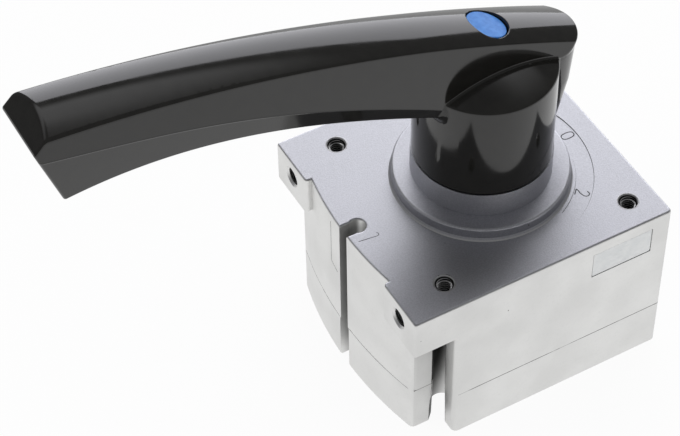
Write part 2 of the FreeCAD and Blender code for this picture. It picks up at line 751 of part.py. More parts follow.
def make_lever_screw():
    """Socket screw that clamps the lever to the spindle."""
    low = SCREW_SEAT + WASHER_THICK
    top = low + SCREW_HEAD_HIGH
    screw = joined([cyl(SCREW_HEAD_R, low, top), cyl(SCREW_R, SPINDLE_TOP - LEVER_SCREW_REACH, low + 1)])
    return screw.cut(hexagon(SOCKET_FLATS, top - SOCKET_DEEP, top + 1))


def make_label_plate():
    """Blank label in the recess of the front face."""
    y0 = -BODY_SIDE + LABEL_DEEP - LABEL_THICK
    return block(LABEL_X + 0.2, LABEL_X + LABEL_WIDE - 0.2, y0, y0 + LABEL_THICK,
                 LABEL_BOTTOM + 0.2, LABEL_TOP - 0.2)


def main():
    """Make every node and write it."""
    os.makedirs("parts", exist_ok=True)
    nodes = {
        "upper_housing": make_upper_housing(),
        "base_housing": make_base_housing(),
        "housing_gasket": make_housing_gasket(),
        "housing_screws": make_housing_screws(),
        "port_seats": make_port_seats(),
        "control_disc": make_control_disc(),
        "disc_spring": make_disc_spring(),
        "driver": make_driver(),
        "detent_plunger_front": make_plunger(1),
        "detent_plunger_rear": make_plunger(-1),
        "detent_spring_front": make_plunger_spring(1),
        "detent_spring_rear": make_plunger_spring(-1),
        "index_ring": make_index_ring(),
        "stop_pins": make_stop_pins(),
        "spindle": make_spindle(),
        "thrust_washer": make_thrust_washer(),
        "lower_bush": make_lower_bush(),
        "upper_bush": make_upper_bush(),
        "spindle_seals": make_spindle_seals(),
        "retaining_ring": make_retaining_ring(),
        "lever": make_lever(),
        "lever_screw": make_lever_screw(),
        "lever_washer": make_lever_washer(),
        "cap_disc": make_cap_disc(),
        "label_plate": make_label_plate(),
    }
    for name, shape in nodes.items():
        shape.exportStep("parts/" + name + ".step")
        box = shape.BoundBox
        limits = (box.XMin, box.XMax, box.YMin, box.YMax, box.ZMin, box.ZMax)
        print(name, shape.isValid(), len(shape.Solids), [round(v, 2) for v in limits])


main()
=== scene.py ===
"""Looks of a hand lever air valve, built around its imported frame.

Sizes in the classes are millimetres over the underside of the base, and meshes are written in
metres. The spindle stands on the Z axis, and the lever's handle points to -X.
"""

import logging
import math
from dataclasses import dataclass
from enum import Enum

import bmesh
import bpy
import numpy as np
import openvdb
from mathutils import Matrix, Vector

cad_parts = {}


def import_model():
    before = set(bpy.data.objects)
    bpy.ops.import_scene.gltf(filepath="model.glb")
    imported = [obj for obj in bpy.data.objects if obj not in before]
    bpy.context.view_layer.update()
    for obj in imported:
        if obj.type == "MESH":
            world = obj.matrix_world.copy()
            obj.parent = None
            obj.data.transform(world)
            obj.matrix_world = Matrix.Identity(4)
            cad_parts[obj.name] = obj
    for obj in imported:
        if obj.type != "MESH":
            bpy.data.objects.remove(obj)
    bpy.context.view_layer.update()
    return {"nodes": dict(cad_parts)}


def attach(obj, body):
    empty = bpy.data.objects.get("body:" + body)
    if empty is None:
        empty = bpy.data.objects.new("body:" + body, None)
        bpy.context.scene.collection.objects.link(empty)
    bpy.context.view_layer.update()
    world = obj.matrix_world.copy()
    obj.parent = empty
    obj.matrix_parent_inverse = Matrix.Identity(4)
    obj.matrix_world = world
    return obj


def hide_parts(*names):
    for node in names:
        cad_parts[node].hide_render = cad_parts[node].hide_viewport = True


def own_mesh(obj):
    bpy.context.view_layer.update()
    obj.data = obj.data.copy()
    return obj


MM = 0.001
DIAGONAL = math.sqrt(0.5)
COMPARE_REACH = 0.2
UP = (0, 0, 1)
LOG = logging.getLogger("valve")
Array = np.ndarray
Colour = tuple[float, float, float]


class Body(Enum):
    """Bodies of the frame that pieces ride on."""

    VALVE = "valve_body"
    ROTOR = "rotor"


class Slot(Enum):
    """Names of material slots for the pieces made here; nothing in this script assigns them."""

    CAST = "cast_body"
    SPRING = "spring_steel"
    LEVER = "lever_black"


class Digit(Enum):
    """Digits of the dial."""

    NOUGHT = 0
    ONE = 1
    TWO = 2


class Tree:
    """Short way to lay out the nodes of one material. Lengths in its textures are millimetres."""

    def __init__(self, name: str) -> None:
        """Starts a material.

        Args:
            name: Name of the material.
        """
        self.material = bpy.data.materials.new(name)
        self.material.use_nodes = True
        self.nodes = self.material.node_tree.nodes
        self.links = self.material.node_tree.links
        self.shader = self.nodes["Principled BSDF"]
        place = self.add("ShaderNodeTexCoord")
        scaled = self.add("ShaderNodeMapping")
        scaled.inputs["Scale"].default_value = (1 / MM,) * 3
        self.links.new(place.outputs["Object"], scaled.inputs["Vector"])
        self.place = scaled.outputs["Vector"]

    def add(self, kind: str, **settings: object) -> bpy.types.Node:
        """Adds a node.

        Args:
            kind: Type name of the node.
            settings: Attributes to set on it.

        Returns:
            The new node.
        """
        node = self.nodes.new(kind)
        for key, value in settings.items():
            setattr(node, key, value)
        return node

    def put(self, socket: bpy.types.NodeSocket, value: object) -> None:
        """Links a socket to another one, or sets its value.

        Args:
            socket: Input to fill.
            value: Output socket, number or colour.
        """
        if isinstance(value, bpy.types.NodeSocket):
            self.links.new(value, socket)
        elif isinstance(value, tuple) and len(value) == 3 and len(socket.default_value) == 4:
            socket.default_value = (*value, 1.0)
        else:
            socket.default_value = value

    def stretched(self, scale: tuple[float, float, float]) -> bpy.types.NodeSocket:
        """Place with its three axes scaled.

        Args:
            scale: Factor of each axis.

        Returns:
            Socket with the scaled place.
        """
        node = self.add("ShaderNodeMapping")
        node.inputs["Scale"].default_value = scale
        self.links.new(self.place, node.inputs["Vector"])
        return node.outputs["Vector"]

    def noise(self, size: float, detail: float = 3.0, rough: float = 0.5,
              place: bpy.types.NodeSocket | None = None) -> bpy.types.NodeSocket:
        """Noise texture.

        Args:
            size: Width of its blobs in millimetres.
            detail: Octaves.
            rough: Share of the fine octaves.
            place: Place to read, or none for the plain one.

        Returns:
            Socket with values around a half.
        """
        node = self.add("ShaderNodeTexNoise")
        self.links.new(place or self.place, node.inputs["Vector"])
        node.inputs["Scale"].default_value = 1 / size
        node.inputs["Detail"].default_value = detail
        node.inputs["Roughness"].default_value = rough
        return node.outputs["Fac"]

    def sum(self, kind: str, a: object, b: object = 0.0) -> bpy.types.NodeSocket:
        """Arithmetic of two values.

        Args:
            kind: Operation of the math node.
            a: First value or socket.
            b: Second value or socket.

        Returns:
            Socket with the result.
        """
        node = self.add("ShaderNodeMath", operation=kind)
        self.put(node.inputs[0], a)
        self.put(node.inputs[1], b)
        node.inputs[2].default_value = COMPARE_REACH
        return node.outputs[0]

    def times(self, first: object, *others: object) -> bpy.types.NodeSocket:
        """Product of values and sockets, in order."""
        for other in others:
            first = self.sum("MULTIPLY", first, other)
        return first

    def size(self, value: bpy.types.NodeSocket) -> bpy.types.NodeSocket:
        """Value without its sign."""
        return self.sum("ABSOLUTE", value)

    def less(self, value: object, limit: object) -> bpy.types.NodeSocket:
        """1 where a value lies under its limit, otherwise 0."""
        return self.sum("LESS_THAN", value, limit)

    def most(self, a: object, b: object) -> bpy.types.NodeSocket:
        """The larger of two values."""
        return self.sum("MAXIMUM", a, b)

    def hypot(self, a: bpy.types.NodeSocket, b: bpy.types.NodeSocket) -> bpy.types.NodeSocket:
        """Length of the two legs a and b put together."""
        return self.sum("SQRT", self.sum("ADD", self.times(a, a), self.times(b, b)))

    def axes(self, vector: bpy.types.NodeSocket) -> tuple[bpy.types.NodeSocket, ...]:
        """The X, Y and Z parts of a vector."""
        node = self.add("ShaderNodeSeparateXYZ")
        self.links.new(vector, node.inputs[0])
        return tuple(node.outputs[k] for k in "XYZ")

    def span(self, value: bpy.types.NodeSocket, low: float, high: float,
             to_low: float = 0.0, to_high: float = 1.0) -> bpy.types.NodeSocket:
        """Value mapped from one range to another, smoothly and held at its ends.

        Args:
            value: Socket to map.
            low: Value that gives to_low.
            high: Value that gives to_high.
            to_low: Result at low.
            to_high: Result at high.

        Returns:
            Socket with the result.
        """
        node = self.add("ShaderNodeMapRange", interpolation_type="SMOOTHSTEP")
        self.put(node.inputs["Value"], value)
        node.inputs["From Min"].default_value = low
        node.inputs["From Max"].default_value = high
        node.inputs["To Min"].default_value = to_low
        node.inputs["To Max"].default_value = to_high
        return node.outputs["Result"]

    def mix(self, share: object, a: object, b: object) -> bpy.types.NodeSocket:
        """Colour between two colours.

        Args:
            share: Share of the second colour.
            a: First colour or socket.
            b: Second colour or socket.

        Returns:
            Socket with the colour.
        """
        node = self.add("ShaderNodeMix", data_type="RGBA")
        self.put(node.inputs[0], share)
        self.put(node.inputs[6], a)
        self.put(node.inputs[7], b)
        return node.outputs[2]

    def bump(self, height: bpy.types.NodeSocket, depth: float,
             normal: bpy.types.NodeSocket | None = None) -> bpy.types.NodeSocket:
        """Bump of the surface.

        Args:
            height: Socket with values from 0 to 1.
            depth: Height of a full value in millimetres.
            normal: Bump that this one is laid over.

        Returns:
            Socket with the normal.
        """
        node = self.add("ShaderNodeBump")
        node.inputs["Strength"].default_value = 1.0
        node.inputs["Distance"].default_value = depth * MM
        self.put(node.inputs["Height"], height)
        if normal is not None:
            self.links.new(normal, node.inputs["Normal"])
        return node.outputs["Normal"]

    def finish(self, **values: object) -> bpy.types.Material:
        """Fills the shader's sockets.

        Args:
            values: Socket names in small letters with underscores, with their values.

        Returns:
            The material.
        """
        for key, value in values.items():
            name = key.replace("_", " ").title().replace("Ior", "IOR")
            self.put(self.shader.inputs[name], value)
        return self.material


@dataclass(frozen=True)
class CastFinish:
    """Cast housing: blasted grey on top, bright fine cast skin on the sides, a dark parting line,
    and painted shade in the recesses and on the column faces under the lugs.
    """

    name: str
    top: Colour = (0.61, 0.615, 0.655)
    top_dark: Colour = (0.52, 0.525, 0.56)
    side: Colour = (0.82, 0.82, 0.81)
    side_dark: Colour = (0.76, 0.76, 0.75)
    pit: Colour = (0.10, 0.10, 0.095)
    # Dark colour of the parting line, and of the painted shade in the recesses and under the lugs.
    dark_line_and_painted_shade: Colour = (0.022, 0.022, 0.02)
    plate: float = 53.4
    parting: float = 16.2
    hole_at: float = 28.0
    hole_radius: float = 2.72
    cross_at: float = 28.2
    cross_high: float = 47.8
    cross_radius: float = 2.42
    pocket_radius: float = 3.75
    pocket_top: float = 40.62
    pocket_before: float = -20.0
    channel_half: float = 1.72
    channel_grow: float = 0.58
    channel_end: float = 4.4
    channel_turn: float = 4.2
    # Heights along the slant over which the painted shade in the pocket fades out, lower down.
    channel_light: tuple[float, float] = (-4.0, 32.0)
    channel_share: float = 0.06
    channel_wall: tuple[float, float] = (0.4, 0.9)
    column_side: float = 29.6
    column_face: float = -29.0
    column_foot: float = 12.0
    # Shares of painted shade on the column faces, at their foot and at the lug.
    column_shade_shares: tuple[float, float] = (0.08, 0.3)
    flank: float = 36.5
    flank_reach: float = 1.7
    right_reach: float = 1.9
    line_from: float = -27.9
    line_half: tuple[float, float] = (0.07, 0.17)
    line_breaks: float = 12.0
    slot_half: float = 2.75
    slot_mouth: float = -41.8
    slot_fade: float = 3.5
    slot_share: float = 0.45
    slot_end: float = -35.0
    slot_lip: tuple[float, float] = (4.0, 0.2)
    hole_lip: tuple[float, float] = (0.35, 0.15)
    cross_face: tuple[float, float] = (-41.6, -41.4)
    cross_end: float = -33.0
    blur: float = 0.1
    pit_room: float = 6.5
    pit_size: tuple[float, float] = (0.02, 0.045)
    pit_chance: tuple[float, float] = (0.72, 0.74)

    def hole(self, tree: Tree, away: bpy.types.NodeSocket, radius: float) -> bpy.types.NodeSocket:
        """Mask inside a radius, with a slightly soft edge."""
        return tree.span(away, radius, radius + self.blur, 1.0, 0.0)

    def recesses(self, tree: Tree) -> bpy.types.NodeSocket:
        """Mask of painted shade in the screw holes, the corner pockets with their channels, the
        keyhole and the lug holes.

        Args:
            tree: Nodes of the material.

        Returns:
            Socket with the share of painted shade, 1 deep in a recess and 0 outside.
        """
        x, y, z = tree.axes(tree.place)
        dx = tree.sum("SUBTRACT", tree.size(x), self.hole_at)
        dy = tree.sum("SUBTRACT", tree.size(y), self.hole_at)
        deep, lip = (self.plate - reach for reach in self.hole_lip)
        hole = tree.times(self.hole(tree, tree.hypot(dx, dy), self.hole_radius),
                          tree.span(z, deep, lip, 1.0, 0.0))
        out = tree.times(tree.sum("ADD", dx, dy), DIAGONAL)
        across = tree.times(tree.size(tree.sum("SUBTRACT", dy, dx)), DIAGONAL)
        wide = tree.span(z, 0.0, self.parting, self.channel_half + self.channel_grow,
                         self.channel_half)
        channel = tree.times(tree.less(across, wide), tree.less(out, self.channel_end))
        pocket = tree.times(tree.less(out, 0.0), tree.less(across, self.pocket_radius))
        # Painted shade is full in the channel; in the pocket it grows lighter lower down and
        # towards one side, as painted light on its back wall.
        slant = tree.sum("ADD", z, tree.times(tree.sum("SUBTRACT", dx, dy), self.channel_turn))
        dim = tree.most(tree.span(slant, *self.channel_light, self.channel_share, 1.0),
                        tree.span(out, *self.channel_wall))
        corner = tree.times(tree.less(x, self.pocket_before), tree.less(z, self.pocket_top), dim,
                            tree.most(pocket, channel))
        deep, lip = (self.plate - reach for reach in self.slot_lip)
        slot = tree.times(tree.less(tree.size(y), self.slot_half),
                          tree.span(x, self.slot_mouth, self.slot_mouth + self.slot_fade,
                                    0.0, self.slot_share),
                          tree.less(x, self.slot_end), tree.span(z, deep, lip, 1.0, 0.0))
        away = tree.hypot(tree.sum("SUBTRACT", tree.size(y), self.cross_at),
                          tree.sum("SUBTRACT", z, self.cross_high))
        cross = tree.times(self.hole(tree, away, self.cross_radius),
                           tree.span(x, *self.cross_face), tree.less(x, self.cross_end))
        return tree.most(tree.most(hole, corner), tree.most(slot, cross))

    def shade(self, tree: Tree) -> bpy.types.NodeSocket:
        """Mask of the dark parting line on the flat sides, and of painted shade on the column faces
        under the lugs.

        Args:
            tree: Nodes of the material.

        Returns:
            Socket with the share of the dark colour.
        """
        x, y, z = tree.axes(tree.place)
        beside = tree.size(y)
        side = tree.most(tree.sum("GREATER_THAN", beside, self.flank - self.flank_reach),
                         tree.sum("GREATER_THAN", x, self.flank - self.right_reach))
        away = tree.size(tree.sum("SUBTRACT", z, self.parting))
        broken = tree.span(tree.noise(self.line_breaks, 3.0, 0.6), 0.46, 0.56, 0.9, 0.3)
        line = tree.times(tree.span(away, *self.line_half, 1.0, 0.0), side,
                          tree.sum("GREATER_THAN", x, self.line_from), broken)
        # Painted shade on the column faces under the lugs, deeper towards the lug.
        under = tree.times(tree.sum("COMPARE", beside, self.column_side),
                           tree.less(x, self.column_face), tree.less(z, self.pocket_top),
                           tree.span(z, self.column_foot, self.pocket_top, *self.column_shade_shares))
        return tree.most(line, under)

    def pits(self, tree: Tree) -> bpy.types.NodeSocket:
        """Mask of the few small casting pits."""
        cells = tree.add("ShaderNodeTexVoronoi")
        tree.links.new(tree.place, cells.inputs["Vector"])
        cells.inputs["Scale"].default_value = 1 / self.pit_room
        dot = tree.span(cells.outputs["Distance"], *self.pit_size, 1.0, 0.0)
        chance = tree.add("ShaderNodeSeparateColor")
        tree.links.new(cells.outputs["Color"], chance.inputs[0])
        return tree.times(dot, tree.span(chance.outputs[0], *self.pit_chance))

    def material(self) -> bpy.types.Material:
        """Builds the material."""
        tree = Tree(self.name)
        facing = tree.axes(tree.add("ShaderNodeNewGeometry").outputs["Normal"])[2]
        high = tree.axes(tree.place)[2]
        blasted = tree.most(tree.span(facing, 0.55, 0.95),
                            tree.span(high, self.plate + 0.1, self.plate + 0.4))
        grain = tree.noise(0.42, 4.0, 0.62)
        cloud = tree.noise(11.0, 3.0, 0.5)
        fine = tree.noise(0.9, 3.0, 0.6)
        top = tree.mix(tree.span(grain, 0.36, 0.66), self.top_dark, self.top)
        side = tree.mix(tree.span(cloud, 0.2, 0.8, 0.0, 0.5), self.side, self.side_dark)
        side = tree.mix(tree.span(fine, 0.5, 0.75, 0.0, 0.5), side, self.side_dark)
        dot = self.pits(tree)
        colour = tree.mix(blasted, side, top)
        colour = tree.mix(dot, colour, self.pit)
        # Dark parting line, and painted shade under the lugs.
        colour = tree.mix(self.shade(tree), colour, self.dark_line_and_painted_shade)
        # Painted shade in the recesses.
        colour = tree.mix(self.recesses(tree), colour, self.dark_line_and_painted_shade)
        rough = tree.add("ShaderNodeMix", data_type="FLOAT")
        tree.put(rough.inputs[0], blasted)
        tree.put(rough.inputs[2], tree.span(cloud, 0.3, 0.7, 0.46, 0.52))
        tree.put(rough.inputs[3], tree.span(grain, 0.3, 0.7, 0.36, 0.47))
        depth = tree.times(grain, tree.span(blasted, 0.0, 1.0, 0.3, 1.0))
        depth = tree.sum("SUBTRACT", depth, dot)
        normal = tree.bump(depth, 0.04, tree.bump(cloud, 0.05))
        return tree.finish(base_color=colour, metallic=1.0, roughness=rough.outputs[0],
                           normal=normal)


@dataclass(frozen=True)
class PlasticFinish:
    """Glossy moulded plastic with a faint ripple."""

    name: str
    colour: Colour
    dark: Colour
    rough_low: float
    rough_high: float
    ripple: float
    ripple_size: float = 3.0

    def material(self) -> bpy.types.Material:
        """Builds the material."""
        tree = Tree(self.name)
        cloud = tree.noise(self.ripple_size, 3.0, 0.55)
        smear = tree.noise(14.0, 4.0, 0.6)
        colour = tree.mix(tree.span(cloud, 0.3, 0.7), self.dark, self.colour)
        rough = tree.span(smear, 0.3, 0.7, self.rough_low, self.rough_high)
        normal = tree.bump(cloud, self.ripple, tree.bump(tree.noise(0.5, 2.0), self.ripple * 0.12))
        return tree.finish(base_color=colour, roughness=rough, normal=normal)


@dataclass(frozen=True)
class MetalFinish:
    """Turned or ground metal with fine lines round the spindle axis."""

    name: str
    colour: Colour
    dark: Colour
    rough: float
    line_size: float = 0.25

    def material(self) -> bpy.types.Material:
        """Builds the material."""
        tree = Tree(self.name)
        lines = tree.noise(self.line_size, 2.0, 0.6, tree.stretched((0.15, 0.15, 3.0)))
        cloud = tree.noise(2.5, 3.0, 0.5)
        colour = tree.mix(tree.span(cloud, 0.3, 0.7), self.dark, self.colour)
        rough = tree.span(lines, 0.3, 0.7, self.rough * 0.8, self.rough * 1.25)
        return tree.finish(base_color=colour, metallic=1.0, roughness=rough,
                           normal=tree.bump(lines, 0.012))


@dataclass(frozen=True)
class LineFinish:
    """Dark line of a groove, an engraving or a painted shade line at a recess edge, broken up along
    its length.
    """

    name: str
    colour: Colour
    faint: Colour
    size: float = 6.0

    def material(self) -> bpy.types.Material:
        """Builds the material."""
        tree = Tree(self.name)
        broken = tree.span(tree.noise(self.size, 3.0, 0.6), 0.42, 0.6)
        colour = tree.mix(broken, self.colour, self.faint)
        return tree.finish(base_color=colour, roughness=0.6, metallic=0.3,
                           normal=tree.bump(tree.noise(0.3, 2.0), 0.01))


def piece(name: str, points: Array, faces: list, material: bpy.types.Material, body: Body,
          smooth: bool = True) -> bpy.types.Object:
    """Makes one mesh piece that rides on a body.

    Args:
        name: Name of the piece.
        points: Corners in millimetres.
        faces: Corner numbers of each face.
        material: Its finish.
        body: Body that it rides on.
        smooth: Whether it is shaded smooth.

    Returns:
        The new object.
    """
    mesh = bpy.data.meshes.new(name)
    places = (np.asarray(points, float) * MM).tolist()
    mesh.from_pydata(places, [], [tuple(map(int, face)) for face in faces])
    mesh.validate()
    if smooth:
        mesh.shade_smooth()
    mesh.materials.append(material)
    thing = bpy.data.objects.new(name, mesh)
    bpy.context.scene.collection.objects.link(thing)
    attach(thing, body.value)
    LOG.info("%s: %d faces", name, len(mesh.polygons))
    return thing


def strip(path: Array, normals: Array, width: float, lift: float,
          sink: float = 0.02) -> tuple[Array, list]:
    """Low bead along a path on a surface, closed underneath.

    Args:
        path: Points on the surface.
        normals: Outward normal of the surface at each point.
        width: Width of the bead.
        lift: Height of its crown over the surface.
        sink: Depth of its edges under the surface.

    Returns:
        Points and faces.
    """
    path = np.asarray(path, float)
    normals = np.broadcast_to(np.asarray(normals, float), path.shape)
    ahead = np.gradient(path, axis=0)
    across = np.cross(ahead, normals)
    across /= np.linalg.norm(across, axis=1)[:, None]
    half = across * width / 2
    rows = [path - half - normals * sink, path - half * 0.55 + normals * lift * 0.8,
            path + half * 0.55 + normals * lift * 0.8, path + half - normals * sink]
    points = np.stack(rows, 1).reshape(-1, 3)
    faces = []
    for i in range(len(path) - 1):
        for j in range(4):
            k = (j + 1) % 4
            faces.append((4 * i + j, 4 * i + k, 4 * i + 4 + k, 4 * i + 4 + j))
    last = 4 * (len(path) - 1)
    faces += [(3, 2, 1, 0), (last, last + 1, last + 2, last + 3)]
    return points, faces


def merged(parts: list[tuple[Array, list]]) -> tuple[Array, list]:
    """Joins lists of points and faces.

    Args:
        parts: Points and faces of each part.

    Returns:
        Points and faces of them all.
    """
    points, faces, start = [], [], 0
    for some, own in parts:
        points.append(some)
        faces += [tuple(start + k for k in face) for face in own]
        start += len(some)
    return np.concatenate(points), faces


def arc(radius: float, start: float, end: float, height: float, steps: int,
        centre: tuple[float, float] = (0.0, 0.0)) -> Array:
    """Level arc.

    Args:
        radius: Its radius.
        start: First angle in degrees.
        end: Last angle in degrees.
        height: Its height.
        steps: Number of points.
        centre: Its centre in plan.

    Returns:
        Points of the arc.
    """
    a = np.radians(np.linspace(start, end, steps))
    return np.stack([centre[0] + radius * np.cos(a), centre[1] + radius * np.sin(a),
                     np.full(steps, height)], 1)


def dense(corners: list, step: float = 0.5) -> Array:
    """Points along straight runs.

    Args:
        corners: Corners of the runs.
        step: Longest distance between two points.

    Returns:
        Points of the line.
    """
    out = [np.asarray(corners[0], float)]
    for a, b in zip(corners, corners[1:]):
        a, b = np.asarray(a, float), np.asarray(b, float)
        count = max(1, math.ceil(np.linalg.norm(b - a) / step))
        out += [a + (b - a) * i / count for i in range(1, count + 1)]
    return np.array(out)


@dataclass
class Housing:
    """Cast housing with its holes, marks and lines."""

    plate: float = 53.4
    parting: float = 16.2
    hole_at: float = 28.0
    hole_radius: float = 2.1
    hole_depth: float = 11.4
    pitch: float = 0.8
    thread_deep: float = 0.3
    thread_from: float = 0.55
    thread_steps: int = 28
    mouth: float = 2.88
    mouth_width: float = 0.26
    lug_face: float = -41.65
    cross_y: float = 28.2
    cross_drop: float = 5.6
    cross_depth: float = 7.8
    arc_face: float = -41.8
    arc_radius: float = 112.0
    column_side: float = 29.6
    pad_side: float = 6.9
    pad_turn: float = 3.5
    pad_drop: float = 2.8
    pad_deep: float = 18.0
    line_ends: tuple[float, float] = (2.6, 28.0)
    column_ends: tuple[float, float] = (-37.4, -31.6)
    dial_floor: float = 0.2
    dial_ring: float = 27.5
    dial_outer: float = 30.05
    dial_inner: float = 25.2
    dial_half: float = 64.3
    digit_high: float = 3.7
    digit_wide: float = 2.1
    stroke: float = 0.34

    def dress(self, nodes: dict) -> None:
        """Gives the castings their finish.

        Args:
            nodes: Objects of the frame's nodes.
        """
        cast = CastFinish("cast_housing").material()
        for name in ("upper_housing", "base_housing"):
            dress(nodes[name], cast)
        self.cast = cast
        cut = MetalFinish("cut_thread", (0.62, 0.62, 0.62), (0.5, 0.5, 0.5), 0.3)
        # Dark line for the engraved digits, and for the painted shade lines along the dial's recess
        # edges.
        line = LineFinish("engraved_and_shade_line", (0.02, 0.02, 0.022), (0.04, 0.04, 0.043))
        faint = LineFinish("parting_line", (0.015, 0.015, 0.015), (0.3, 0.3, 0.29), 12.0)
        self.cut, self.line, self.faint = (made.material() for made in (cut, line, faint))

    def thread(self, depth: float) -> tuple[Array, list]:
        """Screw thread inside a hole that runs down from the origin.

        Args:
            depth: Its depth.

        Returns:
            Points and faces.
        """
        around = self.thread_steps
        count = int((depth - self.thread_from) / self.pitch * around)
        a = np.arange(count) * 2 * math.pi / around
        low = -self.thread_from - np.arange(count) * self.pitch / around
        fade = np.clip(np.arange(count) / around * 1.5, 0.05, 1)
        root = np.full(count, self.hole_radius + 0.02)
        crest = self.hole_radius - self.thread_deep * fade
        rows = []
        for radius, share in ((root, 0.22), (crest, 0.08), (crest, -0.08), (root, -0.22)):
            rows.append(np.stack([radius * np.cos(a), radius * np.sin(a),
                                  low + share * self.pitch], 1))
        points = np.stack(rows, 1).reshape(-1, 3)
        faces = []
        for i in range(count - 1):
            faces += [(4 * i + j, 4 * i + 4 + j, 4 * i + 5 + j, 4 * i + 1 + j) for j in range(3)]
        return points, faces

    def threads(self) -> None:
        """Makes the threads of the four plate holes and the two lug holes."""
        parts = []
        ring = arc(self.mouth, 0.0, 360.0, 0.0, 49)
        for sx in (-1, 1):
            for sy in (-1, 1):
                place = (sx * self.hole_at, sy * self.hole_at, self.plate)
                points, faces = self.thread(self.hole_depth)
                parts.append((points + place, faces))
                points, faces = strip(ring, UP, self.mouth_width, 0.03)
                parts.append((points + place, faces))
        points, faces = merged(parts)
        piece("hole_threads", points, faces, self.cut, Body.VALVE, smooth=False)
        parts = []
        for sy in (-1, 1):
            points, faces = self.thread(self.cross_depth)
            turned = np.stack([-points[:, 2], points[:, 1], points[:, 0]], 1)
            place = (self.lug_face, sy * self.cross_y, self.plate - self.cross_drop)
            parts.append((turned + place, faces))
        points, faces = merged(parts)
        piece("lug_threads", points, faces, self.cast, Body.VALVE, smooth=False)

    def glyph(self, digit: Digit) -> list[Array]:
        """Strokes of a digit, a unit high and about half as wide, round the origin.

        Args:
            digit: Which digit.

        Returns:
            Points of each stroke in two dimensions.
        """
        if digit is Digit.NOUGHT:
            a = np.linspace(0.0, 2 * math.pi, 41)
            c, s = np.cos(a), np.sin(a)
            return [np.stack([np.sign(v) * np.abs(v) ** 0.8 for v in (c, s)], 1) * 0.5]
        if digit is Digit.ONE:
            return [np.array([[-0.42, 0.22], [-0.1, 0.34], [0.08, 0.5], [0.08, 0.0], [0.08, -0.5]])]
        a = np.radians(np.linspace(170.0, -38.0, 22))
        head = np.stack([0.42 * np.cos(a), 0.24 + 0.26 * np.sin(a)], 1)
        foot = np.array([[0.1, -0.14], [-0.28, -0.34], [-0.45, -0.5], [0.0, -0.5], [0.5, -0.5]])
        return [np.concatenate([head, foot])]

    def dial(self) -> None:
        """Makes the engraved digits of the dial, and dark strips along the edges of its recess as
        painted shade lines.
        """
        floor = self.plate - self.dial_floor
        parts = []
        for digit, angle in ((Digit.NOUGHT, 0.0), (Digit.ONE, 45.0), (Digit.TWO, -45.0)):
            turn = math.radians(angle)
            out = np.array([math.cos(turn), math.sin(turn)])
            along = np.array([math.sin(turn), -math.cos(turn)])
            for line in self.glyph(digit):
                flat = (out * (self.dial_ring + line[:, 1:] * self.digit_high)
                        + along * line[:, :1] * self.digit_wide)
                path = dense(np.column_stack([flat, np.full(len(flat), floor)]), 0.15)
                parts.append(strip(path, UP, self.stroke, 0.05))
        # Dark strips along the edges of the dial's shallow recess: painted shade lines at its
        # steps.
        for radius, wide in ((self.dial_outer, 0.22), (self.dial_inner, 0.14)):
            path = arc(radius, -self.dial_half, self.dial_half, floor + 0.05, 160)
            parts.append(strip(path, UP, wide, 0.04, 0.06))
        points, faces = merged(parts)
        piece("dial_marks", points, faces, self.line, Body.VALVE)

    def pad_lines(self) -> None:
        """Makes the fine outline of the pad round the keyhole."""
        top = self.plate
        hook = arc(0.55, -90, 70, top, 10, (-34.6, -5.1))
        on_top = np.concatenate([dense([(-39.9, -5.0, top), (-34.9, -5.65, top)]), hook])
        parts = [strip(on_top, UP, 0.24, 0.03)]
        straight, bent = 24, 16
        turn = top - self.pad_deep
        y = np.concatenate([np.full(straight, self.pad_side), self.pad_side
                            - self.pad_turn * np.sin(np.linspace(0.05, 1.5, bent)) ** 2])
        z = np.concatenate([np.linspace(top - self.pad_drop, turn, straight),
                            turn - np.linspace(0.1, 1.6, bent)])
        x = self.arc_x(y)
        parts.append(strip(np.stack([x, y, z], 1), (-1, 0, 0), 0.14, 0.03))
        points, faces = merged(parts)
        piece("pad_outline", points, faces, self.line, Body.VALVE)

    def arc_x(self, y: Array) -> Array:
        """Place of the curved keyhole side across it."""
        return self.arc_face + self.arc_radius - np.sqrt(self.arc_radius ** 2 - y ** 2)

    def parting_lines(self) -> None:
        """Makes the line where the two castings meet, on the keyhole side and the columns."""
        z = self.parting
        parts = []
        for sy in (-1, 1):
            y = sy * np.linspace(*self.line_ends, 40)
            line = np.stack([self.arc_x(y), y, np.full(len(y), z)], 1)
            parts.append(strip(line, (-1, 0, 0), 0.22, 0.02))
            face = dense([(x, sy * self.column_side, z) for x in self.column_ends])
            parts.append(strip(face, (0, sy, 0), 0.3, 0.02))
        points, faces = merged(parts)
        piece("parting_line", points, faces, self.faint, Body.VALVE)

    def build(self, nodes: dict) -> None:
        """Makes every piece of the housing.

        Args:
            nodes: Objects of the frame's nodes.
        """
        self.dress(nodes)
        self.threads()
        self.dial()
        self.pad_lines()
        self.parting_lines()


def round_max(a: Array, b: Array, radius: Array | float) -> Array:
    """Distance to the meeting of two shapes, with a rounded edge."""
    u = np.maximum(radius + a, 0)
    v = np.maximum(radius + b, 0)
    return np.minimum(-radius, np.maximum(a, b)) + np.sqrt(u * u + v * v)


def round_min(a: Array, b: Array, radius: Array | float) -> Array:
    """Distance to two joined shapes, with a fillet between them."""
    return -round_max(-a, -b, radius)


